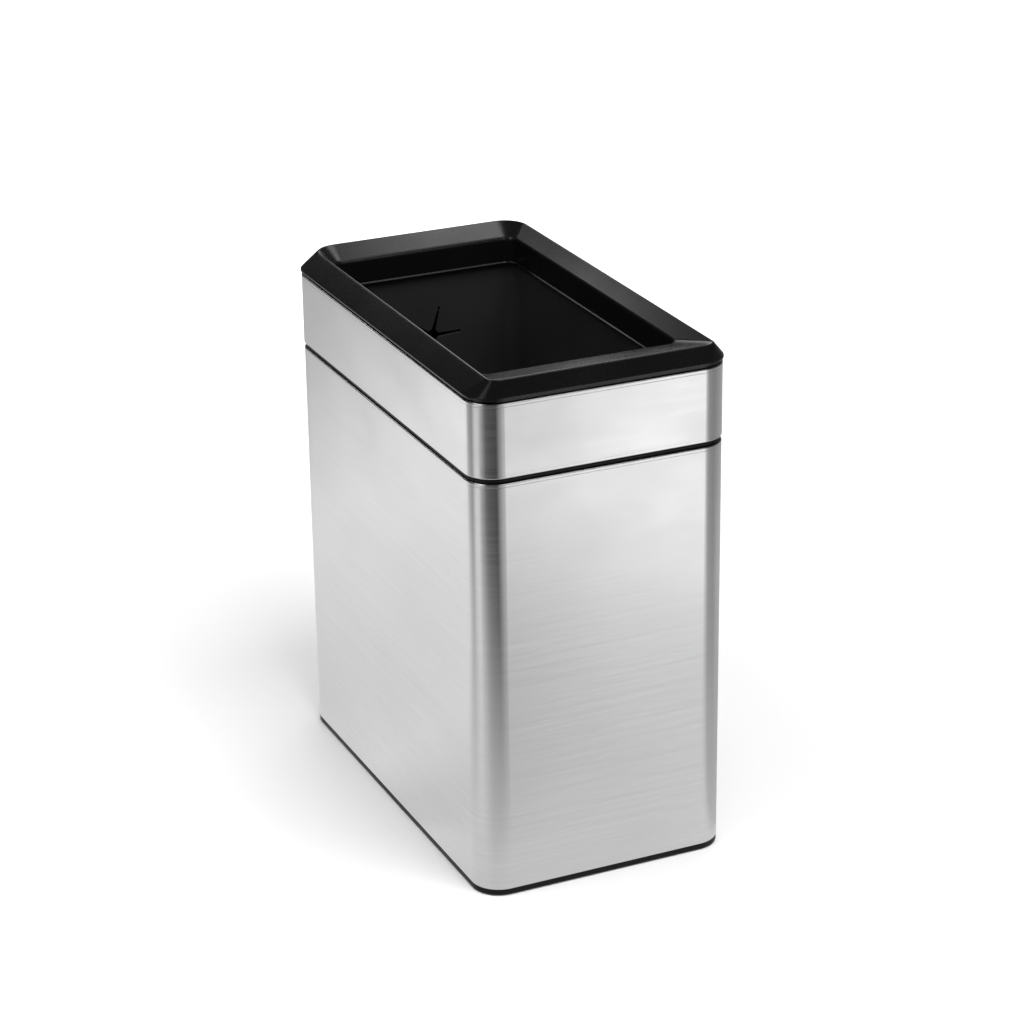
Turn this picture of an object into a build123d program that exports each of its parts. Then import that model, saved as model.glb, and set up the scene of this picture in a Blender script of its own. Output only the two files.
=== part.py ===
from build123d import *
import math
import os

# Open-top slim waste can: a brushed steel can on a black base, a removable black inner
# bucket, and a lift-off rim made of a steel band and a black bevelled collar.
# Millimetres. The origin is the middle of the footprint at floor level, +X runs across the
# narrow front, +Y runs from the narrow front face to the back, and +Z is up.

# Plan outline of the steel can
can_width = 160.0
can_depth = 279.0
corner_radius = 17.5

# Heights of the visible layers, from the floor up
foot_proud = 0.8
base_strip_height = 3.2
shell_height = 255.7
black_line_height = 3.0
band_height = 44.5
lip_gap = 0.3
collar_height = 13.2

# Steel sheet
sheet = 0.7
hem_thickness = 1.6
hem_height = 4.0
hem_round = 0.7
seam_width = 0.5
seam_depth = 0.3
band_overhang = 0.2

# Seam strips behind the butt joints
strip_width = 14.0
strip_sheet = 0.6
strip_end_gap = 3.0

# Bottom panel, a shallow steel pan that rests on the shell's lower hem
panel_sheet = 0.8
panel_flange = 10.0

# Black base moulding
base_inset = 0.2
base_floor = 2.0
base_floor_lift = 1.6
base_skirt = 2.4
base_fit = 0.2
rib_thickness = 1.8
rib_count_across = 3
rib_count_along = 5

# Non-slip pads
pad_diameter = 18.0
pad_from_side = 22.0
pad_from_end = 26.0
pad_ring_wall = 1.6
pad_ring_height = 1.0
pad_fit = 0.3
pad_bevel = 0.4

# Screws
base_screw_diameter = 3.0
base_screw_head = 6.4
base_screw_head_height = 1.4
base_screw_past_panel = 2.2
base_screw_from_side = 12.0
base_screw_from_end = 62.0
rim_screw_diameter = 3.0
rim_screw_head = 5.2
rim_screw_head_height = 2.0
rim_screw_length = 9.0
rim_screw_from_edge = 6.4
screw_clearance = 0.2
screw_boss_wall = 2.0
screw_tip_room = 0.6
screw_slot_width = 0.9
screw_slot_depth = 0.8
screw_slot_share = 0.7

# Top frame of the can, seen as the black line between the can and the band
frame_inset = 0.9
frame_opening_inset = 8.5
frame_wall = 2.2
frame_skirt_depth = 15.0
frame_fit = 0.2
frame_round = 1.5

# Rim frame inside the steel band
rim_frame_fit = 0.2
rim_frame_wall = 2.0
rim_ledge_inset = 8.0
rim_ledge_thickness = 2.2
rim_flange_inset = 9.0
rim_flange_thickness = 2.5
rim_flange_below_band = 3.7

# Bevelled collar
recess_height = 1.6
recess_inset = 1.2
lip_overhang = 0.7
lip_height = 1.5
lip_round = 0.4
shoulder_round = 1.2
ridge_side_inset = 9.5
ridge_front_inset = 1.5
ridge_back_inset = 4.5
ridge_front_radius = 6.0
ridge_back_radius = 16.0
ridge_crest = 1.0
ridge_round = 0.8
side_slope_width = 9.0
front_slope_width = 32.5
back_slope_width = 14.0
slope_drop = 7.9
mouth_radius = 7.0
mouth_edge_round = 3.0
collar_wall = 2.0
collar_crown_wall = 3.2
collar_roof_wall = 2.7
mouth_skirt_bottom_from_ridge = 24.8
skirt_edge_round = 0.5
skirt_bead = 0.7
skirt_bead_straight = 0.9

# Inner bucket
bucket_fit = 0.8
bucket_wall = 1.6
bucket_taper = 5.0
bucket_below_collar = 6.0
bucket_floor_round = 5.0
bucket_flange_inset = 10.3
bucket_flange_thickness = 2.0
bucket_flange_turn = 9.0
bucket_flange_radius = 8.0
bucket_flange_round = 0.8
bucket_foot_height = 2.0
bucket_foot_margin = 1.0
bucket_foot_width = 3.0
bucket_foot_radius = 6.0

# Star-shaped bag tuck hole in the back wall of the bucket
star_slits = 5
star_turn = 74.0
star_reach = 18.5
star_centre_radius = 4.2
star_slit_root = 3.2
star_slit_tip = 1.1
star_tip_radius = 1.0
star_side_offset = 5.7
star_below_shell_top = 5.1

# Levels worked out from the heights
strip_bottom = foot_proud
shell_bottom = strip_bottom + base_strip_height
shell_top = shell_bottom + shell_height
band_bottom = shell_top + black_line_height
band_top = band_bottom + band_height
collar_bottom = band_top + lip_gap
ridge_top = collar_bottom + collar_height
slope_foot = ridge_top - slope_drop
skirt_bottom = ridge_top - mouth_skirt_bottom_from_ridge
panel_bottom = shell_bottom + hem_height
panel_top = panel_bottom + panel_sheet
base_floor_bottom = strip_bottom + base_floor_lift
rim_flange_top = band_top - rim_flange_below_band
rim_flange_bottom = rim_flange_top - rim_flange_thickness
bucket_top = collar_bottom - bucket_below_collar
frame_top = band_bottom + frame_fit

# Insets from the can's outer face to what lies inside it
hem_inner = hem_thickness
band_outer = -band_overhang
band_inner = band_outer + sheet
band_hem_inner = band_outer + hem_thickness
rim_frame_outer = band_hem_inner + rim_frame_fit
rim_frame_inner = rim_frame_outer + rim_frame_wall
lip_outer = -lip_overhang

# The mouth of the collar, which isn't quite in the middle because the front slope is wider
mouth_half_width = can_width / 2 - ridge_side_inset - side_slope_width
mouth_front = -(can_depth / 2 - ridge_front_inset - front_slope_width)
mouth_back = can_depth / 2 - ridge_back_inset - back_slope_width
mouth_shift = (mouth_front + mouth_back) / 2
mouth_half_depth = (mouth_back - mouth_front) / 2


def outline(inset, level, radius=None):
    """The can's plan outline moved in by inset, as a face at the given height."""
    if radius is None:
        radius = corner_radius - inset
    face = RectangleRounded(can_width - 2 * inset, can_depth - 2 * inset, radius)
    return Pos(0, 0, level) * face


def mouth(offset, level, radius=None):
    """The collar's mouth moved out by offset, as a face at the given height."""
    if radius is None:
        radius = mouth_radius + offset
    face = RectangleRounded(
        2 * (mouth_half_width + offset),
        2 * (mouth_half_depth + offset),
        radius,
    )
    return Pos(0, mouth_shift, level) * face


def ridge(shrink, level):
    """The collar's ridge moved in by shrink, as a face at the given height."""
    half_width = can_width / 2 - ridge_side_inset - shrink
    front = ridge_front_inset + shrink - can_depth / 2
    back = can_depth / 2 - ridge_back_inset - shrink
    face = Rectangle(2 * half_width, back - front)
    face = fillet(face.vertices().filter_by(lambda corner: corner.Y > 0), ridge_back_radius - shrink)
    face = fillet(
        face.vertices().filter_by(lambda corner: corner.Y < ridge_front_radius - (back - front) / 2),
        ridge_front_radius - shrink,
    )
    return Pos(0, (front + back) / 2, level) * face


def prism(face, height):
    """A straight solid that stands on a face."""
    return extrude(face, amount=height, dir=(0, 0, 1))


def flared(face, height, spread):
    """A solid that stands on a face and grows outwards by spread over its height."""
    lean = math.degrees(math.atan2(spread, height))
    return extrude(face, amount=height, dir=(0, 0, 1), taper=-lean)


def ring(outer_inset, inner_inset, low, high):
    """A straight ring between two insets of the can's outline."""
    outer = prism(outline(outer_inset, low), high - low)
    return outer - prism(outline(inner_inset, low), high - low)


def edges_at(shape, level):
    """The edges of a shape that lie flat at one height."""
    return shape.edges().filter_by_position(Axis.Z, level - 0.01, level + 0.01)


def edges_outside(shape, level, inset):
    """The edges at one height that lie outside an inset of the can's outline."""
    limit_x = can_width / 2 - inset
    limit_y = can_depth / 2 - inset
    chosen = []
    for edge in edges_at(shape, level):
        middle = edge @ 0.5
        corner = corner_radius
        beyond_x = abs(middle.X) > limit_x
        beyond_y = abs(middle.Y) > limit_y
        near_x = abs(middle.X) > limit_x - corner
        near_y = abs(middle.Y) > limit_y - corner
        outside_corner = False
        if near_x and near_y:
            run_x = abs(middle.X) - (limit_x - corner)
            run_y = abs(middle.Y) - (limit_y - corner)
            outside_corner = math.hypot(run_x, run_y) > corner
        if beyond_x or beyond_y or outside_corner:
            chosen.append(edge)
    return chosen


def hemmed_wrap(outer_inset, low, high):
    """Steel sheet bent round the outline, with a folded hem along both edges."""
    wall = ring(outer_inset, outer_inset + sheet, low, high)
    inner = outer_inset + hem_thickness
    wall += ring(outer_inset + sheet / 2, inner, low, low + hem_height)
    wall += ring(outer_inset + sheet / 2, inner, high - hem_height, high)
    wall = fillet(edges_at(wall, high), hem_round)
    wall = fillet(edges_at(wall, low), hem_round)
    back_face = can_depth / 2 - outer_inset
    groove = Box(seam_width, 2 * seam_depth, high - low)
    return wall - Pos(0, back_face, (low + high) / 2) * groove


def seam_strip(inner_inset, low, high):
    """The narrow strip that joins the two ends of a wrapped sheet from the inside."""
    face = can_depth / 2 - inner_inset
    strip = Box(strip_width, strip_sheet, high - low)
    return Pos(0, face - strip_sheet / 2, (low + high) / 2) * strip


def make_outer_shell():
    return hemmed_wrap(0.0, shell_bottom, shell_top)


def make_shell_seam_strip():
    low = panel_top + panel_flange + strip_end_gap
    high = shell_top - frame_skirt_depth - strip_end_gap
    return seam_strip(sheet, low, high)


def base_screw_places():
    """Three screws along each long side of the base."""
    x = can_width / 2 - base_screw_from_side
    y = can_depth / 2 - base_screw_from_end
    places = []
    for side in (-1, 1):
        for step in (-1, 0, 1):
            places.append((side * x, step * y))
    return places


def pad_places():
    """The four pads by name."""
    x = can_width / 2 - pad_from_side
    y = can_depth / 2 - pad_from_end
    return {
        "foot_pad_front_left": (-x, -y),
        "foot_pad_front_right": (x, -y),
        "foot_pad_back_left": (-x, y),
        "foot_pad_back_right": (x, y),
    }


def make_bottom_panel():
    """A shallow pan: a flat floor with an upturned flange against the shell."""
    pan = prism(outline(sheet, panel_bottom), panel_sheet + panel_flange)
    inside = prism(outline(sheet + panel_sheet, panel_top), panel_flange)
    pan -= inside
    for x, y in base_screw_places():
        pan -= Pos(x, y, panel_bottom) * Cylinder(base_screw_diameter / 2, 4 * panel_sheet)
    return pan


def base_ribs():
    """A grid of ribs between the base's floor and the steel panel above it."""
    low = base_floor_bottom + base_floor
    height = panel_bottom - low
    inner_width = can_width - 2 * (hem_inner + base_fit + base_skirt)
    inner_depth = can_depth - 2 * (hem_inner + base_fit + base_skirt)
    middle = low + height / 2
    ribs = []
    for index in range(rib_count_across):
        x = inner_width * ((index + 1) / (rib_count_across + 1) - 0.5)
        ribs.append(Pos(x, 0, middle) * Box(rib_thickness, inner_depth, height))
    for index in range(rib_count_along):
        y = inner_depth * ((index + 1) / (rib_count_along + 1) - 0.5)
        ribs.append(Pos(0, y, middle) * Box(inner_width, rib_thickness, height))
    return ribs


def make_base_tray():
    """The black base: a strip flush with the steel, a tongue inside it, a floor and ribs."""
    floor_top = base_floor_bottom + base_floor
    tray = prism(outline(base_inset, strip_bottom), shell_bottom - strip_bottom)
    tongue_inset = hem_inner + base_fit
    tray += prism(outline(tongue_inset, shell_bottom), panel_bottom - shell_bottom)
    under_inset = base_inset + base_skirt
    tray -= prism(outline(under_inset, strip_bottom), base_floor_bottom - strip_bottom)
    over_inset = tongue_inset + base_skirt
    tray -= prism(outline(over_inset, floor_top), panel_bottom - floor_top)
    for rib in base_ribs():
        tray += rib
    for x, y in base_screw_places():
        boss_radius = base_screw_head / 2 + screw_boss_wall / 2
        boss_height = panel_bottom - base_floor_bottom
        boss_middle = base_floor_bottom + boss_height / 2
        tray += Pos(x, y, boss_middle) * Cylinder(boss_radius, boss_height)
        hole_radius = base_screw_diameter / 2 + screw_clearance
        tray -= Pos(x, y, boss_middle) * Cylinder(hole_radius, 2 * boss_height)
    for x, y in pad_places().values():
        inner_radius = pad_diameter / 2 + pad_fit
        outer_radius = inner_radius + pad_ring_wall
        ring_middle = base_floor_bottom - pad_ring_height / 2
        tray += Pos(x, y, ring_middle) * Cylinder(outer_radius, pad_ring_height)
        tray -= Pos(x, y, ring_middle) * Cylinder(inner_radius, pad_ring_height)
    return tray


def make_foot_pad(x, y):
    """A soft disc stuck under the base's floor, with its lower edge bevelled."""
    pad = Pos(x, y, base_floor_bottom / 2) * Cylinder(pad_diameter / 2, base_floor_bottom)
    return chamfer(edges_at(pad, 0.0), pad_bevel)


def screw(x, y, head_bottom, diameter, head, head_height, length):
    """A screw that points up, with a cross recess in the underside of its head."""
    head_middle = head_bottom + head_height / 2
    body = Pos(x, y, head_middle) * Cylinder(head / 2, head_height)
    shank_middle = head_bottom + head_height + length / 2
    body += Pos(x, y, shank_middle) * Cylinder(diameter / 2, length)
    slot_length = head * screw_slot_share
    body -= Pos(x, y, head_bottom) * Box(slot_length, screw_slot_width, 2 * screw_slot_depth)
    body -= Pos(x, y, head_bottom) * Box(screw_slot_width, slot_length, 2 * screw_slot_depth)
    return body


def make_base_screws():
    head_bottom = base_floor_bottom - base_screw_head_height
    length = panel_top + base_screw_past_panel - base_floor_bottom
    screws = []
    for x, y in base_screw_places():
        screws.append(
            screw(
                x,
                y,
                head_bottom,
                base_screw_diameter,
                base_screw_head,
                base_screw_head_height,
                length,
            )
        )
    return Compound(screws)


def make_shell_top_frame():
    """A black ring on the can's upper hem, with a skirt that reaches down inside it."""
    bead = ring(frame_inset, frame_opening_inset, shell_top, frame_top)
    bead = fillet(edges_outside(bead, frame_top, frame_opening_inset - 1), frame_round)
    bead = fillet(edges_outside(bead, shell_top, frame_opening_inset - 1), frame_round)
    skirt_outer = hem_inner + frame_fit
    skirt_inner = skirt_outer + frame_wall
    skirt_low = shell_top - frame_skirt_depth
    return bead + ring(skirt_outer, skirt_inner, skirt_low, shell_top + frame_fit)


def make_inner_bucket():
    """The black bucket: tapered walls, a wide flange at the mouth and a standing ring."""
    foot_top = panel_top + bucket_foot_height
    floor_top = foot_top + bucket_wall
    outer_offset = collar_wall + bucket_fit + bucket_wall
    inner_offset = collar_wall + bucket_fit
    outer = flared(mouth(outer_offset - bucket_taper, foot_top), bucket_top - foot_top, bucket_taper)
    outer = fillet(edges_at(outer, foot_top), bucket_floor_round)
    inner = flared(mouth(inner_offset - bucket_taper, floor_top), bucket_top - floor_top, bucket_taper)
    inner = fillet(edges_at(inner, floor_top), bucket_floor_round - bucket_wall)
    flange_low = bucket_top - bucket_flange_thickness
    turn_low = bucket_top - bucket_flange_turn
    flange = prism(outline(bucket_flange_inset, turn_low, bucket_flange_radius), bucket_flange_turn)
    flange = fillet(edges_at(flange, bucket_top), bucket_flange_round)
    under = outline(
        bucket_flange_inset + bucket_wall,
        turn_low,
        bucket_flange_radius - bucket_wall,
    )
    flange -= prism(under, flange_low - turn_low)
    foot_height = bucket_foot_height + bucket_wall / 2
    foot_offset = outer_offset - bucket_taper - bucket_floor_round - bucket_foot_margin
    foot_outer = mouth(foot_offset, panel_top, bucket_foot_radius + bucket_foot_width)
    foot_inner = mouth(foot_offset - bucket_foot_width, panel_top, bucket_foot_radius)
    foot = prism(foot_outer, foot_height) - prism(foot_inner, foot_height)
    bucket = outer + flange + foot
    bucket -= inner
    return bucket - star_cutter()


def star_cutter():
    """The tuck hole: a small round centre with slits that narrow towards round ends."""
    profile = Circle(star_centre_radius)
    for index in range(star_slits):
        angle = star_turn + 360.0 / star_slits * index
        slit = Polygon(
            (0, -star_slit_root / 2),
            (star_reach, -star_slit_tip / 2),
            (star_reach, star_slit_tip / 2),
            (0, star_slit_root / 2),
            align=None,
        )
        slit += Pos(star_reach, 0) * Circle(star_tip_radius)
        profile += Rot(0, 0, angle) * slit
    wall_back = mouth_back + collar_wall + bucket_fit + bucket_wall
    start = wall_back + bucket_wall
    level = shell_top - star_below_shell_top
    place = Plane(
        origin=(star_side_offset, start, level),
        x_dir=(1, 0, 0),
        z_dir=(0, -1, 0),
    )
    return extrude(place * profile, amount=2 * bucket_wall + bucket_taper)


def make_rim_band():
    return hemmed_wrap(band_outer, band_bottom, band_top)


def make_band_seam_strip():
    low = band_bottom + hem_height + strip_end_gap
    high = band_top - hem_height - strip_end_gap
    return seam_strip(band_inner, low, high)


def rim_screw_places():
    """Two screws on each short side and three on each long side, inside the bevel."""
    x_side = can_width / 2 - rim_screw_from_edge
    y_side = can_depth / 2 - rim_screw_from_edge
    places = []
    for sign in (-1, 1):
        for step in (-1, 0, 1):
            places.append((sign * x_side, step * can_depth / 3))
        for step in (-1, 1):
            places.append((step * can_width / 4, sign * y_side))
    return places


def make_rim_inner_frame():
    """A black frame that stiffens the band, rests on the can and takes the screws."""
    frame = ring(rim_frame_outer, rim_frame_inner, frame_top, rim_flange_top)
    frame += ring(rim_frame_outer, rim_ledge_inset, frame_top, frame_top + rim_ledge_thickness)
    frame += ring(rim_frame_outer, rim_flange_inset, rim_flange_bottom, rim_flange_top)
    hole_radius = rim_screw_diameter / 2 + screw_clearance
    for x, y in rim_screw_places():
        frame -= Pos(x, y, rim_flange_top) * Cylinder(hole_radius, 4 * rim_flange_thickness)
    return frame


def make_rim_screws():
    head_bottom = rim_flange_bottom - rim_screw_head_height
    screws = []
    for x, y in rim_screw_places():
        screws.append(
            screw(
                x,
                y,
                head_bottom,
                rim_screw_diameter,
                rim_screw_head,
                rim_screw_head_height,
                rim_screw_length,
            )
        )
    return Compound(screws)


def collar_solid():
    """The collar's outer form: a recess, a small upright lip and a bevel up to the ridge."""
    lip_bottom = collar_bottom + recess_height
    lip_top = lip_bottom + lip_height
    lip = prism(outline(lip_outer, lip_bottom), lip_height)
    lip = fillet(edges_at(lip, lip_bottom), lip_round)
    bevel = loft([outline(lip_outer, lip_top), ridge(0.0, ridge_top)], ruled=True)
    solid = lip + bevel
    solid = fillet(edges_at(solid, lip_top), shoulder_round)
    solid = fillet(edges_at(solid, ridge_top), ridge_round)
    return solid + prism(outline(recess_inset, collar_bottom), recess_height)


def funnel():
    """The space inside the ridge: slopes that fall to the mouth, then a shaft past a bead."""
    slopes = loft([mouth(0.0, slope_foot), ridge(ridge_crest, ridge_top)], ruled=True)
    bead_bottom = skirt_bottom + skirt_bead_straight
    bead_top = bead_bottom + skirt_bead
    shaft = prism(mouth(0.0, bead_top), slope_foot - bead_top)
    shaft += flared(mouth(-skirt_bead, bead_bottom), skirt_bead, skirt_bead)
    shaft += prism(mouth(-skirt_bead, skirt_bottom), skirt_bead_straight)
    return slopes, shaft


def collar_cavity():
    """The hollow under the bevel and the slopes, at least a wall's thickness from both."""
    low = collar_bottom
    high = ridge_top - collar_crown_wall
    outside = loft(
        [outline(recess_inset + collar_wall, low), ridge(collar_wall / 2, high)],
        ruled=True,
    )
    roof_low = slope_foot - collar_roof_wall
    column = prism(mouth(collar_wall, low), roof_low - low)
    roof = loft([mouth(collar_wall, roof_low), ridge(collar_wall, ridge_top - collar_wall)], ruled=True)
    return outside - column - roof


def collar_post(x, y, low, high):
    """A round screw post between two levels."""
    radius = rim_screw_diameter / 2 + screw_boss_wall
    return Pos(x, y, (low + high) / 2) * Cylinder(radius, high - low)


def make_rim_collar():
    """The collar, its hollow underside, its inner skirt and the posts for the rim screws."""
    slopes, shaft = funnel()
    hollow = collar_cavity()
    for x, y in rim_screw_places():
        hollow -= collar_post(x, y, collar_bottom - collar_wall, ridge_top)
    collar = collar_solid()
    collar += prism(mouth(collar_wall, skirt_bottom), collar_bottom - skirt_bottom + collar_wall)
    collar -= hollow
    collar -= slopes
    collar -= shaft
    collar = fillet(edges_at(collar, slope_foot), mouth_edge_round)
    collar = fillet(edges_at(collar, skirt_bottom), skirt_edge_round)
    hole_top = rim_flange_bottom + rim_screw_length + screw_tip_room
    for x, y in rim_screw_places():
        collar += collar_post(x, y, rim_flange_top, collar_bottom + recess_height)
        hole_middle = (rim_flange_top + hole_top) / 2
        hole_height = hole_top - rim_flange_top
        collar -= Pos(x, y, hole_middle) * Cylinder(rim_screw_diameter / 2, hole_height)
    return collar


def main():
    os.makedirs("parts", exist_ok=True)
    pieces = {
        "outer_shell": make_outer_shell(),
        "shell_seam_strip": make_shell_seam_strip(),
        "bottom_panel": make_bottom_panel(),
        "base_tray": make_base_tray(),
        "base_screws": make_base_screws(),
        "shell_top_frame": make_shell_top_frame(),
        "inner_bucket": make_inner_bucket(),
        "rim_band": make_rim_band(),
        "band_seam_strip": make_band_seam_strip(),
        "rim_inner_frame": make_rim_inner_frame(),
        "rim_screws": make_rim_screws(),
        "rim_collar": make_rim_collar(),
    }
    for name, (x, y) in pad_places().items():
        pieces[name] = make_foot_pad(x, y)
    for name, piece in pieces.items():
        export_step(piece, f"parts/{name}.step")
        print(name, round(piece.volume, 1))


main()
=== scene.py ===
import math

import bmesh
import bpy
from bpy.props import FloatProperty, FloatVectorProperty, PointerProperty
from mathutils import Matrix, Vector


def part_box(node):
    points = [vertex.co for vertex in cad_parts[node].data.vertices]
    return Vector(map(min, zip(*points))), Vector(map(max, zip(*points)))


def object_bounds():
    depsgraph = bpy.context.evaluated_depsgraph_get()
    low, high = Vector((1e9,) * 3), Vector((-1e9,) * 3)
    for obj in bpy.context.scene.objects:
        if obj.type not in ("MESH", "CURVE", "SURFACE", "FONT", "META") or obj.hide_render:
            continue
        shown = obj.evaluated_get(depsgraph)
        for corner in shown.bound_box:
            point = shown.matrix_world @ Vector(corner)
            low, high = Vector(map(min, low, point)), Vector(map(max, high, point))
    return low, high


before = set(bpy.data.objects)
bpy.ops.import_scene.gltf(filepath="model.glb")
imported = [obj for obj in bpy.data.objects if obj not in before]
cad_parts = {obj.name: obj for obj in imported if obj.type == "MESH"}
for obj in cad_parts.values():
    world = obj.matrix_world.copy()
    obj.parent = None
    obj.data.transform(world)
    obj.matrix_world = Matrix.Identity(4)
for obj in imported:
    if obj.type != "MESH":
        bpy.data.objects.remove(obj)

bl_info = {
    "name": "Open-top waste bin",
    "version": (1, 0, 0),
    "blender": (4, 5, 0),
    "location": "View3D > Sidebar > Bin",
    "description": "Gives the packed waste bin its finishes and sets a studio round it",
    "category": "Object",
}

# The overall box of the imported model, in metres
LOW_CORNER, HIGH_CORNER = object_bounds()


# Sizes and colours that a user would change


class SteelSettings(bpy.types.PropertyGroup):
    """Brushed steel of the can and of the rim's band."""

    colour: FloatVectorProperty(
        name="Steel",
        description="Colour of the brushed steel",
        subtype="COLOR",
        min=0.0,
        max=1.0,
        default=(0.68, 0.68, 0.683),
    )
    dark_line: FloatProperty(
        name="Brush contrast",
        description="How much darker the darkest brush lines are",
        subtype="FACTOR",
        min=0.0,
        max=1.0,
        default=0.08,
    )
    line_pitch: FloatProperty(
        name="Brush pitch",
        description="Height of one brush line",
        subtype="DISTANCE",
        unit="LENGTH",
        default=0.0005,
    )
    line_length: FloatProperty(
        name="Brush length",
        description="Length over which a brush line fades",
        subtype="DISTANCE",
        unit="LENGTH",
        default=0.03,
    )
    line_depth: FloatProperty(
        name="Brush depth",
        description="Depth of the brush lines",
        subtype="DISTANCE",
        unit="LENGTH",
        default=0.0000025,
    )
    roughness: FloatProperty(
        name="Roughness",
        description="Roughness of the brushed steel",
        subtype="FACTOR",
        min=0.0,
        max=1.0,
        default=0.22,
    )
    stretch: FloatProperty(
        name="Stretch",
        description="How far the brushing stretches reflections up and down",
        subtype="FACTOR",
        min=0.0,
        max=1.0,
        default=0.90,
    )
    fold_from_edge: FloatProperty(
        name="Fold line",
        description="Distance of the fold line from the sheet's folded edge",
        subtype="DISTANCE",
        unit="LENGTH",
        default=0.0021,
    )
    fold_width: FloatProperty(
        name="Fold width",
        description="Width of the fold line",
        subtype="DISTANCE",
        unit="LENGTH",
        default=0.0006,
    )


class PlasticSettings(bpy.types.PropertyGroup):
    """Black moulded plastic and soft pads."""

    collar: FloatVectorProperty(
        name="Collar",
        description="Colour of the bevelled collar",
        subtype="COLOR",
        min=0.0,
        max=1.0,
        default=(0.0038, 0.0038, 0.0041),
    )
    bucket: FloatVectorProperty(
        name="Bucket",
        description="Colour of the inner bucket",
        subtype="COLOR",
        min=0.0,
        max=1.0,
        default=(0.021, 0.021, 0.022),
    )
    frames: FloatVectorProperty(
        name="Frames",
        description="Colour of the can's top frame and the rim's inner frame",
        subtype="COLOR",
        min=0.0,
        max=1.0,
        default=(0.005, 0.005, 0.0054),
    )
    base: FloatVectorProperty(
        name="Base",
        description="Colour of the base moulding",
        subtype="COLOR",
        min=0.0,
        max=1.0,
        default=(0.005, 0.005, 0.0054),
    )
    pads: FloatVectorProperty(
        name="Pads",
        description="Colour of the non-slip pads",
        subtype="COLOR",
        min=0.0,
        max=1.0,
        default=(0.035, 0.035, 0.036),
    )
    grain: FloatProperty(
        name="Grain",
        description="Size of the fine moulded grain",
        subtype="DISTANCE",
        unit="LENGTH",
        default=0.0005,
    )
    grain_depth: FloatProperty(
        name="Grain depth",
        description="Depth of the moulded grain",
        subtype="DISTANCE",
        unit="LENGTH",
        default=0.000003,
    )


class StudioSettings(bpy.types.PropertyGroup):
    """Camera, lamps, floor, background and what glossy surfaces mirror."""

    azimuth: FloatProperty(
        name="Azimuth",
        description="Where the camera stands, from the narrow front towards the right",
        subtype="ANGLE",
        unit="ROTATION",
        default=math.radians(-24.2472),
    )
    elevation: FloatProperty(
        name="Elevation",
        description="How far the camera stands above the horizon",
        subtype="ANGLE",
        unit="ROTATION",
        default=math.radians(22.3795),
    )
    roll: FloatProperty(
        name="Roll",
        description="Small turn of the camera about its own axis",
        subtype="ANGLE",
        unit="ROTATION",
        default=math.radians(-0.7976),
    )
    distance: FloatProperty(
        name="Distance",
        description="Distance from the camera to the plane through the object's origin",
        subtype="DISTANCE",
        unit="LENGTH",
        default=1.93993,
    )
    aim_right: FloatProperty(
        name="Aim right",
        description="How far to the right of the origin the camera points",
        subtype="DISTANCE",
        unit="LENGTH",
        default=0.001333,
    )
    aim_up: FloatProperty(
        name="Aim up",
        description="How far above the origin the camera points, in the picture's plane",
        subtype="DISTANCE",
        unit="LENGTH",
        default=0.166387,
    )
    lens: FloatProperty(
        name="Lens",
        description="Focal length in millimetres on a sensor 36 mm wide",
        default=107.81,
    )
    floor_radius: FloatProperty(
        name="Floor radius",
        description="Radius of the pale floor",
        subtype="DISTANCE",
        unit="LENGTH",
        default=3.0,
    )
    sky: FloatProperty(
        name="Sky light",
        description="Strength of the even light from all round",
        default=0.47,
    )
    key: FloatProperty(
        name="Key lamp",
        description="Power of the soft lamp high in front",
        subtype="POWER",
        unit="POWER",
        default=30.0,
    )
    back: FloatProperty(
        name="Back lamp",
        description="Power of the soft lamp high behind the object, on the right",
        subtype="POWER",
        unit="POWER",
        default=5.0,
    )
    fill: FloatProperty(
        name="Fill lamp",
        description="Power of the soft lamp high on the left",
        subtype="POWER",
        unit="POWER",
        default=9.0,
    )
    screen_level: FloatProperty(
        name="Screens",
        description="Level of the dark screens that only glossy surfaces see",
        default=0.06,
    )
    low_screen: FloatProperty(
        name="Low screens",
        description="How much brighter the dark screens are near the floor",
        default=0.14,
    )
    soft_box: FloatProperty(
        name="Soft boxes",
        description="Level of the soft boxes that only glossy surfaces see",
        default=1.7,
    )


class BinSettings(bpy.types.PropertyGroup):
    """All settings of the waste bin."""

    steel: PointerProperty(type=SteelSettings)
    plastic: PointerProperty(type=PlasticSettings)
    studio: PointerProperty(type=StudioSettings)


# Helpers for node trees and pieces

# A mix node's sockets for its two colours and for the mixed one
MIX_COLOUR_INPUTS = (6, 7)
MIX_COLOUR_OUTPUT = 2


def add_node(tree, kind, inputs=None, **settings):
    """Adds a shader node. An input is a plain value or the socket that feeds it."""
    made = tree.nodes.new(kind)
    for name, value in settings.items():
        setattr(made, name, value)
    for name, value in (inputs or {}).items():
        if isinstance(value, bpy.types.NodeSocket):
            tree.links.new(value, made.inputs[name])
        else:
            made.inputs[name].default_value = value
    return made


def empty_material(name):
    """A new material with nothing in its node tree."""
    material = bpy.data.materials.new(name)
    material.use_nodes = True
    material.node_tree.nodes.clear()
    return material, material.node_tree


def own_place(tree):
    """The object's own coordinates, in metres."""
    return add_node(tree, "ShaderNodeTexCoord").outputs["Object"]


def blank_material(name):
    """A material with a surface shader, and the object's own coordinates to use in it."""
    material, tree = empty_material(name)
    shader = add_node(tree, "ShaderNodeBsdfPrincipled")
    output = add_node(tree, "ShaderNodeOutputMaterial")
    tree.links.new(shader.outputs["BSDF"], output.inputs["Surface"])
    return material, tree, shader, own_place(tree)


def maths(tree, operation, first, second=0.0, clamp=False):
    """The output of a maths node."""
    made = add_node(tree, "ShaderNodeMath", {0: first, 1: second}, operation=operation)
    made.use_clamp = clamp
    return made.outputs["Value"]


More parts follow.
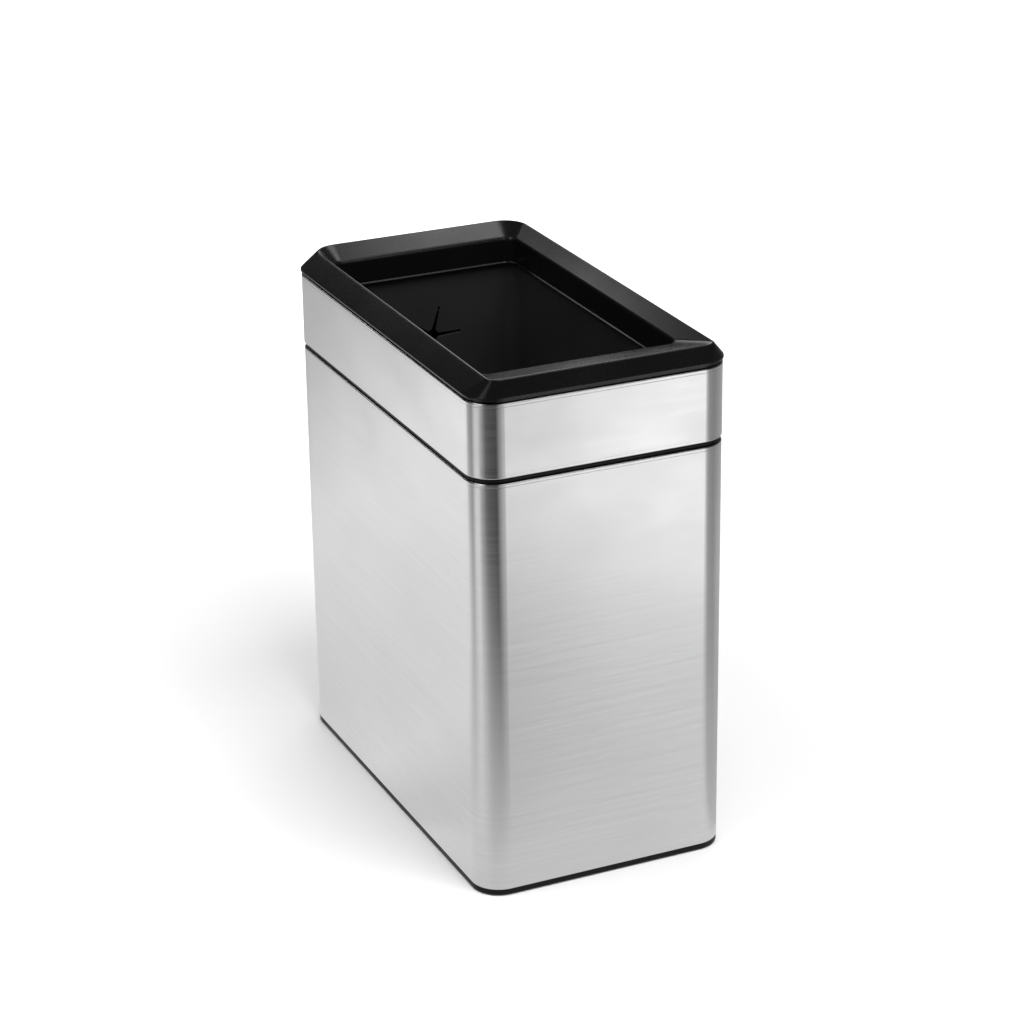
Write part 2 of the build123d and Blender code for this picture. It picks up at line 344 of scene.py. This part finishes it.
def vector_maths(tree, operation, output, *vectors):
    """One output of a vector maths node."""
    inputs = dict(enumerate(vectors))
    return add_node(tree, "ShaderNodeVectorMath", inputs, operation=operation).outputs[output]


def remap(tree, value, source, target=(0.0, 1.0)):
    """Value moved from the source range to the target range and held inside it."""
    inputs = {
        "Value": value,
        "From Min": source[0],
        "From Max": source[1],
        "To Min": target[0],
        "To Max": target[1],
    }
    return add_node(tree, "ShaderNodeMapRange", inputs).outputs["Result"]


def noise(tree, place, size, detail=3.0, spread=0.5):
    """Soft noise whose patches have the given size along X, Y and Z."""
    scaled = add_node(
        tree,
        "ShaderNodeMapping",
        {"Vector": place, "Scale": tuple(1.0 / length for length in size)},
    )
    made = add_node(
        tree,
        "ShaderNodeTexNoise",
        {"Vector": scaled.outputs["Vector"], "Scale": 1.0, "Detail": detail, "Roughness": spread},
    )
    return made.outputs["Fac"]


def blend_colours(tree, factor, first, second):
    """The output of a colour mix."""
    made = add_node(tree, "ShaderNodeMix", {"Factor": factor}, data_type="RGBA")
    for index, value in zip(MIX_COLOUR_INPUTS, (first, second)):
        if isinstance(value, bpy.types.NodeSocket):
            tree.links.new(value, made.inputs[index])
        else:
            made.inputs[index].default_value = value
    return made.outputs[MIX_COLOUR_OUTPUT]


def shade(colour, factor):
    """A colour made darker or lighter, with full alpha."""
    return (colour[0] * factor, colour[1] * factor, colour[2] * factor, 1.0)


def tones(tree, pattern, band, colour, factors):
    """A colour that goes from one shade to another as the pattern goes through a band."""
    first, second = (shade(colour, factor) for factor in factors)
    return blend_colours(tree, remap(tree, pattern, band), first, second)


def strayed(middle, strays):
    """The range round a value, from how far it strays below and above."""
    below, above = strays
    return (middle - below, middle + above)


def bump(tree, height, depth, normal=None):
    """The normal of a surface whose relief is height times depth."""
    inputs = {"Height": height, "Distance": depth, "Strength": 1.0}
    if normal is not None:
        inputs["Normal"] = normal
    return add_node(tree, "ShaderNodeBump", inputs).outputs["Normal"]


def dress(tree, shader, colour, roughness, normal):
    """Feeds the surface shader's colour, roughness and relief."""
    tree.links.new(colour, shader.inputs["Base Color"])
    tree.links.new(roughness, shader.inputs["Roughness"])
    tree.links.new(normal, shader.inputs["Normal"])


def paint(node_names, material):
    """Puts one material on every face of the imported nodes."""
    for node_name in node_names:
        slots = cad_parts[node_name].data.materials
        slots.clear()
        slots.append(material)


# Finishes. All sizes and depths are in metres.

# The bands of a noise's values that tones and roughness are spread over
TONE_BAND = (0.35, 0.65)
ROUGH_BAND = (0.3, 0.7)
# How far the roughness of brushed steel and of plastic strays below and above its value
SATIN_STRAY = (0.04, 0.05)

# Brush lines: how much longer and higher the broad ones are, and what each kind adds
BROAD_LENGTHS = 4
BROAD_PITCHES = 6
FINE_SHARE = 0.65
BROAD_SHARE = 0.35
LINE_BAND = (0.36, 0.64)
# Patches, as if wiped, that change the roughness together with the lines
WIPE_SIZE = (0.09, 0.09, 0.05)
LINE_AND_WIPE_BAND = (0.75, 1.25)
# Fold lines: how strong the low one is beside the high one, their shadow and their depth
LOW_FOLD_SHARE = 0.4
FOLD_SHADE = 0.55
FOLD_SHADOW = 0.20
FOLD_DEPTH = -0.00004
# The part of a full turn between the direction round the can and the stretch up and down
STRETCH_TURN = 0.25


def line_at(tree, place, level, width):
    """A soft horizontal line at one height: 1 on the line and 0 away from it."""
    height = add_node(tree, "ShaderNodeSeparateXYZ", {"Vector": place}).outputs["Z"]
    away = maths(tree, "ABSOLUTE", maths(tree, "SUBTRACT", height, level))
    return remap(tree, away, (0.0, width / 2), (1.0, 0.0))


def brushed_steel(name, settings, low, high):
    """Steel brushed round the can, with a fold line near each hemmed edge."""
    material, tree, shader, place = blank_material(name)
    length = settings.line_length
    pitch = settings.line_pitch
    broad_size = (BROAD_LENGTHS * length, BROAD_LENGTHS * length, BROAD_PITCHES * pitch)
    fine = noise(tree, place, (length, length, pitch), detail=4.0, spread=0.7)
    broad = noise(tree, place, broad_size)
    fine_part = maths(tree, "MULTIPLY", fine, FINE_SHARE)
    broad_part = maths(tree, "MULTIPLY", broad, BROAD_SHARE)
    lines = maths(tree, "ADD", fine_part, broad_part)
    brushed = tones(tree, lines, LINE_BAND, settings.colour, (1.0 - settings.dark_line, 1.0))

    low_fold = line_at(tree, place, low + settings.fold_from_edge, settings.fold_width)
    high_fold = line_at(tree, place, high - settings.fold_from_edge, settings.fold_width)
    faint_fold = maths(tree, "MULTIPLY", low_fold, LOW_FOLD_SHARE)
    folds = maths(tree, "MAXIMUM", faint_fold, high_fold)
    shadow = maths(tree, "MULTIPLY", folds, FOLD_SHADOW)
    colour = blend_colours(tree, shadow, brushed, shade(settings.colour, FOLD_SHADE))

    lines_and_wipe = maths(tree, "ADD", lines, noise(tree, place, WIPE_SIZE))
    rough_range = strayed(settings.roughness, SATIN_STRAY)
    rough = remap(tree, lines_and_wipe, LINE_AND_WIPE_BAND, rough_range)
    relief = bump(tree, lines, settings.line_depth)
    dress(tree, shader, colour, rough, bump(tree, folds, FOLD_DEPTH, relief))
    shader.inputs["Metallic"].default_value = 1.0
    shader.inputs["Anisotropic"].default_value = settings.stretch
    shader.inputs["Anisotropic Rotation"].default_value = STRETCH_TURN
    around = add_node(tree, "ShaderNodeTangent", direction_type="RADIAL", axis="Z")
    tree.links.new(around.outputs["Tangent"], shader.inputs["Tangent"])
    return material


# Colour and roughness of the plated sheet and of the zinc on the screws
PLATED_FINISH = ((0.52, 0.53, 0.54), 0.38)
ZINC_FINISH = ((0.60, 0.60, 0.58), 0.30)
MOTTLE_SIZE = (0.006, 0.006, 0.006)
MOTTLE_SHADES = (0.86, 1.0)
MOTTLE_STRAY = (0.06, 0.08)
MOTTLE_DEPTH = 0.00003


def plain_steel(name, tone, roughness):
    """Unbrushed plated sheet or a screw's plating, slightly mottled."""
    material, tree, shader, place = blank_material(name)
    mottle = noise(tree, place, MOTTLE_SIZE, detail=4.0, spread=0.6)
    colour = tones(tree, mottle, TONE_BAND, tone, MOTTLE_SHADES)
    rough = remap(tree, mottle, ROUGH_BAND, strayed(roughness, MOTTLE_STRAY))
    dress(tree, shader, colour, rough, bump(tree, mottle, MOTTLE_DEPTH))
    shader.inputs["Metallic"].default_value = 1.0
    return material


# Roughness and specular level of each plastic
COLLAR_FINISH = (0.23, 0.32)
BUCKET_FINISH = (0.40, 0.32)
FRAME_FINISH = (0.35, 0.2)
BASE_FINISH = (0.45, 0.15)
# Flow marks, and the band of their sum with the grain
FLOW_SIZE = (0.07, 0.07, 0.07)
FLOW_SHADES = (0.88, 1.12)
GRAIN_AND_FLOW_BAND = (0.8, 1.2)
# An edge is where the normal of a rounded surface turns away from the true one
EDGE_RADIUS = 0.0005
EDGE_SAMPLES = 4
EDGE_BAND = (0.98, 0.80)
# How much of a paler colour the edges take, partly as wear and partly as a painted highlight, and
# how much paler that colour is
EDGE_WEAR_AND_HIGHLIGHT_SHARE = 0.5
EDGE_WEAR_AND_HIGHLIGHT_SHADE = 2.6


def moulded_plastic(name, colour, settings, roughness, gloss):
    """Satin moulded plastic with a fine grain, faint flow marks and paler edges, partly wear and
    partly a painted highlight.
    """
    material, tree, shader, place = blank_material(name)
    grain = noise(tree, place, (settings.grain,) * 3, detail=2.0, spread=0.6)
    flow = noise(tree, place, FLOW_SIZE)
    bevel = add_node(tree, "ShaderNodeBevel", {"Radius": EDGE_RADIUS}, samples=EDGE_SAMPLES)
    rounded = bevel.outputs["Normal"]
    normal = add_node(tree, "ShaderNodeNewGeometry").outputs["Normal"]
    along = vector_maths(tree, "DOT_PRODUCT", "Value", rounded, normal)
    body = tones(tree, flow, TONE_BAND, colour, FLOW_SHADES)
    # Paler rounded edges: partly wear, partly a painted highlight
    edge_wear_and_highlight = maths(tree, "MULTIPLY", remap(tree, along, EDGE_BAND), EDGE_WEAR_AND_HIGHLIGHT_SHARE)
    worn_and_highlit = blend_colours(tree, edge_wear_and_highlight, body, shade(colour, EDGE_WEAR_AND_HIGHLIGHT_SHADE))
    grain_and_flow = maths(tree, "ADD", grain, flow)
    rough = remap(tree, grain_and_flow, GRAIN_AND_FLOW_BAND, strayed(roughness, SATIN_STRAY))
    dress(tree, shader, worn_and_highlit, rough, bump(tree, grain, settings.grain_depth, rounded))
    shader.inputs["Specular IOR Level"].default_value = gloss
    return material


TOOTH_SIZE = (0.0008, 0.0008, 0.0008)
TOOTH_SHADES = (0.8, 1.2)
TOOTH_DEPTH = 0.00004
PAD_ROUGHNESS = (0.78, 0.9)
PAD_GLOSS = 0.3


def soft_pad(name, colour):
    """Matt rubber with a fine tooth."""
    material, tree, shader, place = blank_material(name)
    tooth = noise(tree, place, TOOTH_SIZE, spread=0.6)
    mixed = tones(tree, tooth, TONE_BAND, colour, TOOTH_SHADES)
    rough = remap(tree, tooth, ROUGH_BAND, PAD_ROUGHNESS)
    dress(tree, shader, mixed, rough, bump(tree, tooth, TOOTH_DEPTH))
    shader.inputs["Specular IOR Level"].default_value = PAD_GLOSS
    return material


# Operators, one for each piece or group of like pieces


class BIN_OT_steel_skins(bpy.types.Operator):
    """Brushes the can's steel shell and the rim's steel band"""

    bl_idname = "bin.steel_skins"
    bl_label = "Steel skins"

    def execute(self, context):
        settings = context.scene.bin.steel
        for node_name in ("outer_shell", "rim_band"):
            low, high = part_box(node_name)
            paint([node_name], brushed_steel(node_name + "_brushed", settings, low.z, high.z))
        return {"FINISHED"}


class BIN_OT_inner_steel(bpy.types.Operator):
    """Plates the bottom panel and the two seam strips"""

    bl_idname = "bin.inner_steel"
    bl_label = "Inner steel"

    def execute(self, context):
        plated = plain_steel("plated_sheet", *PLATED_FINISH)
        paint(("bottom_panel", "shell_seam_strip", "band_seam_strip"), plated)
        return {"FINISHED"}


class BIN_OT_screws(bpy.types.Operator):
    """Plates the base's and the rim's screws"""

    bl_idname = "bin.screws"
    bl_label = "Screws"

    def execute(self, context):
        paint(("base_screws", "rim_screws"), plain_steel("zinc_screws", *ZINC_FINISH))
        return {"FINISHED"}


class BIN_OT_collar(bpy.types.Operator):
    """Moulds the black bevelled collar"""

    bl_idname = "bin.collar"
    bl_label = "Collar"

    def execute(self, context):
        settings = context.scene.bin.plastic
        black = moulded_plastic("collar_plastic", settings.collar, settings, *COLLAR_FINISH)
        paint(["rim_collar"], black)
        return {"FINISHED"}


class BIN_OT_bucket(bpy.types.Operator):
    """Moulds the black inner bucket"""

    bl_idname = "bin.bucket"
    bl_label = "Inner bucket"

    def execute(self, context):
        settings = context.scene.bin.plastic
        black = moulded_plastic("bucket_plastic", settings.bucket, settings, *BUCKET_FINISH)
        paint(["inner_bucket"], black)
        return {"FINISHED"}


class BIN_OT_frames(bpy.types.Operator):
    """Moulds the can's top frame and the rim's inner frame"""

    bl_idname = "bin.frames"
    bl_label = "Frames"

    def execute(self, context):
        settings = context.scene.bin.plastic
        black = moulded_plastic("frame_plastic", settings.frames, settings, *FRAME_FINISH)
        paint(("shell_top_frame", "rim_inner_frame"), black)
        return {"FINISHED"}


class BIN_OT_base(bpy.types.Operator):
    """Moulds the black base and its four non-slip pads"""

    bl_idname = "bin.base"
    bl_label = "Base and pads"

    def execute(self, context):
        settings = context.scene.bin.plastic
        black = moulded_plastic("base_plastic", settings.base, settings, *BASE_FINISH)
        paint(["base_tray"], black)
        corners = ("front_left", "front_right", "back_left", "back_right")
        pads = [f"foot_pad_{corner}" for corner in corners]
        paint(pads, soft_pad("pad_rubber", settings.pads))
        return {"FINISHED"}


# Studio. Azimuths are counted from +X towards +Y. Sizes and distances are in metres.

FULL_TURN = 360.0
WHITE = (1.0, 1.0, 1.0, 1.0)
# Width of the camera's sensor in millimetres
SENSOR_WIDTH = 36.0

# Side of each square lamp, and each lamp's azimuth and elevation in degrees and distance
LAMP_SIZE = 1.0
KEY_PLACE = (-80.0, 64.0, 2.0)
BACK_PLACE = (60.0, 55.0, 1.8)
FILL_PLACE = (186.0, 58.0, 1.8)

# The pale floor, whose glow grows from one level to the other over this reach
FLOOR_COLOUR = (0.86, 0.86, 0.86, 1.0)
FLOOR_ROUGHNESS = 0.9
GLOW_REACH = (0.45, 1.3)
GLOW_LEVELS = (0.06, 1.0)

# The bowl that holds the mirrored floor, screens and soft boxes, just above the pale floor
BOWL_RADIUS = 1.05
BOWL_LIFT = 0.0015
BOWL_ROWS = 16
ROUND_STEPS = 96

# How far out the mirrored floor is close, middle and far
CLOSE_REACH = 0.2
MIDDLE_REACH = 0.5
FAR_REACH = 0.8
# Heights over which the floor gives way to the screens, and the low screens to dark ones
FLOOR_EDGE = (0.01, 0.12)
LOW_SCREEN_EDGE = (0.12, 0.32)

# The studio floor as the steel mirrors it, set like lamps and flags. Each row is an azimuth
# in degrees and a level, where 1 is white. No level is above BRIGHTEST, and each table
# begins at 0 and ends at 360 degrees.
BRIGHTEST = 2.5
CLOSE_FLOOR = (
    (0, 0.50),
    (60, 0.60),
    (100, 0.80),
    (150, 0.95),
    (180, 0.80),
    (200, 0.80),
    (212, 0.90),
    (240, 0.80),
    (285, 0.85),
    (300, 0.90),
    (308, 0.65),
    (360, 0.50),
)
MIDDLE_FLOOR = (
    (0, 0.60),
    (45, 0.60),
    (75, 0.70),
    (117, 1.05),
    (160, 1.00),
    (180, 0.60),
    (204, 0.95),
    (215, 0.70),
    (235, 0.35),
    (258, 0.15),
    (266, 0.20),
    (272, 0.45),
    (290, 0.80),
    (300, 0.80),
    (310, 0.45),
    (330, 0.40),
    (345, 0.55),
    (360, 0.60),
)
FAR_FLOOR = (
    (0, 0.45),
    (70, 0.65),
    (112, 0.70),
    # the lit floor that the left side mirrors
    (118, 1.00),
    (126, 1.45),
    (148, 1.45),
    # a dark flag, a light strip and a wide dark flag, which streak the front left corner
    (160, 0.45),
    (176, 0.30),
    (190, 1.25),
    (200, 1.10),
    (210, 0.30),
    (226, 0.00),
    (258, 0.00),
    # the brightest floor, which the narrow front mirrors
    (267, 0.50),
    (273, 0.60),
    (285, 1.40),
    (292, 1.95),
    (299, 2.30),
    (303, 1.85),
    # dimmer floor, which darkens the front right corner
    (308, 0.50),
    (330, 0.35),
    (360, 0.45),
)
# Soft boxes round and above the object: azimuth, elevation, inner and outer half angle in
# degrees, and share of the soft box level
SOFT_BOXES = (
    # the collar's far and right inner slopes
    (39, 67, 1, 8, 3.4),
    (107, 40, 0.5, 5, 1.6),
    # the edge of the mouth
    (340, 76, 2, 10, 1.6),
    # the collar's ridge and its front inner slope
    (68, 40, 3, 10, 1.0),
    (65, 24, 4, 14, 0.7),
    # the front hems, the collar's front left corner and the hems below it
    (285, 50, 4, 14, 1.2),
    (210, 24, 3, 12, 1.2),
    (189, 61, 4, 13, 2.2),
)


def add_to_scene(name, data):
    """A new object in the scene that holds a camera, a lamp or a mesh."""
    made = bpy.data.objects.new(name, data)
    bpy.context.scene.collection.objects.link(made)
    return made


def mesh_to_scene(name, shape):
    """A new object in the scene with the shape's mesh. The shape is freed."""
    mesh = bpy.data.meshes.new(name)
    shape.to_mesh(mesh)
    shape.free()
    return add_to_scene(name, mesh)


def toward(azimuth, elevation):
    """The direction with this azimuth and elevation in degrees."""
    turn = math.radians(azimuth)
    rise = math.radians(elevation)
    flat = math.cos(rise)
    return Vector((math.cos(turn) * flat, math.sin(turn) * flat, math.sin(rise)))


def camera_matrix(studio):
    """The camera's place and turn, from its angles, distance and aim."""
    azimuth = studio.azimuth
    flat = math.cos(studio.elevation)
    rise = math.sin(studio.elevation)
    back = Vector((math.sin(azimuth) * flat, -math.cos(azimuth) * flat, rise))
    right = Vector((math.cos(azimuth), math.sin(azimuth), 0.0))
    up = back.cross(right)
    turn = Matrix.Rotation(studio.roll, 3, back)
    right = turn @ right
    up = turn @ up
    matrix = Matrix((right, up, back)).transposed().to_4x4()
    matrix.translation = back * studio.distance + right * studio.aim_right + up * studio.aim_up
    return matrix


def add_camera(studio):
    """The camera at the photograph's viewing angle."""
    lens = bpy.data.cameras.new("studio_camera")
    lens.lens = studio.lens
    lens.sensor_width = SENSOR_WIDTH
    camera = add_to_scene("studio_camera", lens)
    camera.matrix_world = camera_matrix(studio)
    bpy.context.scene.camera = camera


def seen_directly(tree):
    """1 for rays from the camera, a mirror or glass, and 0 for light that spreads."""
    rays = add_node(tree, "ShaderNodeLightPath").outputs
    camera_or_gloss = maths(tree, "ADD", rays["Is Camera Ray"], rays["Is Glossy Ray"])
    return maths(tree, "ADD", camera_or_gloss, rays["Is Transmission Ray"], clamp=True)


def add_world(studio):
    """White background, and a softer even light on the object."""
    world = bpy.data.worlds.new("studio_world")
    bpy.context.scene.world = world
    world.use_nodes = True
    world.cycles.sampling_method = "NONE"
    tree = world.node_tree
    tree.nodes.clear()
    strength = remap(tree, seen_directly(tree), (0.0, 1.0), (studio.sky, 1.0))
    backdrop = add_node(tree, "ShaderNodeBackground", {"Color": WHITE, "Strength": strength})
    output = add_node(tree, "ShaderNodeOutputWorld")
    tree.links.new(backdrop.outputs["Background"], output.inputs["Surface"])


def add_floor(studio):
    """A pale matt floor that keeps the object's shadow and fades into the background."""
    shape = bmesh.new()
    radius = studio.floor_radius
    bmesh.ops.create_circle(shape, cap_ends=True, radius=radius, segments=ROUND_STEPS)
    floor = mesh_to_scene("studio_floor", shape)
    material, tree, shader, place = blank_material("studio_floor")
    shader.inputs["Base Color"].default_value = FLOOR_COLOUR
    shader.inputs["Roughness"].default_value = FLOOR_ROUGHNESS
    shader.inputs["Specular IOR Level"].default_value = 0.0
    shader.inputs["Emission Color"].default_value = WHITE
    glow = remap(tree, vector_maths(tree, "LENGTH", "Value", place), GLOW_REACH, GLOW_LEVELS)
    strength = maths(tree, "MULTIPLY", seen_directly(tree), glow)
    tree.links.new(strength, shader.inputs["Emission Strength"])
    floor.data.materials.append(material)


def add_lamp(name, power, place, target):
    """A square soft lamp that faces the target and isn't mirrored."""
    azimuth, elevation, distance = place
    away = toward(azimuth, elevation)
    light = bpy.data.lights.new(name, "AREA")
    light.shape = "SQUARE"
    light.size = LAMP_SIZE
    light.energy = power
    lamp = add_to_scene(name, light)
    lamp.location = target + away * distance
    lamp.rotation_mode = "QUATERNION"
    lamp.rotation_quaternion = away.to_track_quat("Z", "Y")
    lamp.visible_glossy = False


def add_lamps(studio):
    """The three soft lamps, aimed at the middle of the object."""
    middle = (LOW_CORNER + HIGH_CORNER) / 2
    add_lamp("key_lamp", studio.key, KEY_PLACE, middle)
    add_lamp("back_lamp", studio.back, BACK_PLACE, middle)
    add_lamp("fill_lamp", studio.fill, FILL_PLACE, middle)


def add_bowl(name):
    """A floor disc and a half sphere on it, in one mesh."""
    shape = bmesh.new()
    rings = []
    for row in range(BOWL_ROWS):
        rise = 0.5 * math.pi * row / BOWL_ROWS
        across = BOWL_RADIUS * math.cos(rise)
        height = BOWL_LIFT + BOWL_RADIUS * math.sin(rise)
        ring = []
        for step in range(ROUND_STEPS):
            turn = 2 * math.pi * step / ROUND_STEPS
            point = (across * math.cos(turn), across * math.sin(turn), height)
            ring.append(shape.verts.new(point))
        rings.append(ring)
    shape.faces.new(rings[0])
    top = shape.verts.new((0.0, 0.0, BOWL_LIFT + BOWL_RADIUS))
    for index in range(ROUND_STEPS):
        following = (index + 1) % ROUND_STEPS
        for lower, upper in zip(rings, rings[1:]):
            shape.faces.new((lower[index], lower[following], upper[following], upper[index]))
        shape.faces.new((rings[-1][index], rings[-1][following], top))
    return mesh_to_scene(name, shape)


def level_round(tree, turn, rows):
    """Levels round the object as shares of BRIGHTEST, from rows of azimuth and level."""
    ramp = add_node(tree, "ShaderNodeValToRGB", {"Fac": turn})
    points = ramp.color_ramp.elements
    for azimuth, _ in rows[1:-1]:
        points.new(azimuth / FULL_TURN)
    for point, (_, level) in zip(points, rows):
        point.color = shade(WHITE, level / BRIGHTEST)
    return ramp.outputs["Color"]


def mirrored_floor(tree, place, across, along):
    """The floor's level in each direction, blended from close to far."""
    angle = maths(tree, "ARCTAN2", along, across)
    turn = maths(tree, "FRACT", maths(tree, "DIVIDE", angle, 2 * math.pi))
    reach = vector_maths(tree, "LENGTH", "Value", place)
    close = level_round(tree, turn, CLOSE_FLOOR)
    middle = level_round(tree, turn, MIDDLE_FLOOR)
    far = level_round(tree, turn, FAR_FLOOR)
    to_middle = remap(tree, reach, (CLOSE_REACH, MIDDLE_REACH))
    to_far = remap(tree, reach, (MIDDLE_REACH, FAR_REACH))
    share = blend_colours(tree, to_far, blend_colours(tree, to_middle, close, middle), far)
    return maths(tree, "MULTIPLY", share, BRIGHTEST)


def soft_patch(tree, heading, azimuth, elevation, inner, outer):
    """1 inside a round patch of directions, with a soft edge between two half angles."""
    near = vector_maths(tree, "DOT_PRODUCT", "Value", heading, toward(azimuth, elevation))
    edge = (math.cos(math.radians(outer)), math.cos(math.radians(inner)))
    return remap(tree, near, edge)


def mirrored_screens(tree, place, height, studio):
    """The dark screens' level in each direction, with the soft boxes on them."""
    low_level = remap(tree, height, LOW_SCREEN_EDGE, (studio.low_screen, 0.0))
    screens = maths(tree, "ADD", low_level, studio.screen_level)
    heading = vector_maths(tree, "NORMALIZE", "Vector", place)
    for azimuth, elevation, inner, outer, share in SOFT_BOXES:
        patch = soft_patch(tree, heading, azimuth, elevation, inner, outer)
        box_level = maths(tree, "MULTIPLY", patch, studio.soft_box * share)
        screens = maths(tree, "ADD", screens, box_level)
    return screens


def add_reflected_studio(studio):
    """Floor, screens and soft boxes as the steel and the plastic mirror them."""
    surround = add_bowl("reflected_studio")
    material, tree = empty_material("reflected_studio")
    place = own_place(tree)
    parts = add_node(tree, "ShaderNodeSeparateXYZ", {"Vector": place}).outputs
    floor = mirrored_floor(tree, place, parts["X"], parts["Y"])
    screens = mirrored_screens(tree, place, parts["Z"], studio)
    level = blend_colours(tree, remap(tree, parts["Z"], FLOOR_EDGE), floor, screens)
    glow = add_node(tree, "ShaderNodeEmission", {"Strength": level})
    output = add_node(tree, "ShaderNodeOutputMaterial")
    tree.links.new(glow.outputs["Emission"], output.inputs["Surface"])
    surround.data.materials.append(material)
    surround.visible_camera = False
    surround.visible_diffuse = False
    surround.visible_shadow = False
    surround.visible_transmission = False


class BIN_OT_studio(bpy.types.Operator):
    """Adds the camera, the lamps, the pale floor, the background and the mirrored studio"""

    bl_idname = "bin.studio"
    bl_label = "Studio"

    def execute(self, context):
        studio = context.scene.bin.studio
        add_camera(studio)
        add_world(studio)
        add_floor(studio)
        add_lamps(studio)
        add_reflected_studio(studio)
        context.scene.view_settings.view_transform = "Standard"
        return {"FINISHED"}


class BIN_PT_panel(bpy.types.Panel):
    """Lists the steps that dress the waste bin"""

    bl_idname = "BIN_PT_panel"
    bl_label = "Open-top waste bin"
    bl_space_type = "VIEW_3D"
    bl_region_type = "UI"
    bl_category = "Bin"

    def draw(self, context):
        for operator in OPERATORS:
            self.layout.operator(operator.bl_idname)


OPERATORS = (
    BIN_OT_steel_skins,
    BIN_OT_inner_steel,
    BIN_OT_screws,
    BIN_OT_collar,
    BIN_OT_bucket,
    BIN_OT_frames,
    BIN_OT_base,
    BIN_OT_studio,
)
SETTINGS = (SteelSettings, PlasticSettings, StudioSettings, BinSettings)
CLASSES = SETTINGS + OPERATORS + (BIN_PT_panel,)


def register():
    for item in CLASSES:
        bpy.utils.register_class(item)
    bpy.types.Scene.bin = PointerProperty(type=BinSettings)


def unregister():
    del bpy.types.Scene.bin
    for item in reversed(CLASSES):
        bpy.utils.unregister_class(item)


def main():
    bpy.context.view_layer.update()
    register()
    bpy.ops.bin.steel_skins()
    bpy.ops.bin.inner_steel()
    bpy.ops.bin.screws()
    bpy.ops.bin.collar()
    bpy.ops.bin.bucket()
    bpy.ops.bin.frames()
    bpy.ops.bin.base()
    bpy.ops.bin.studio()


if __name__ == "__main__":
    main()
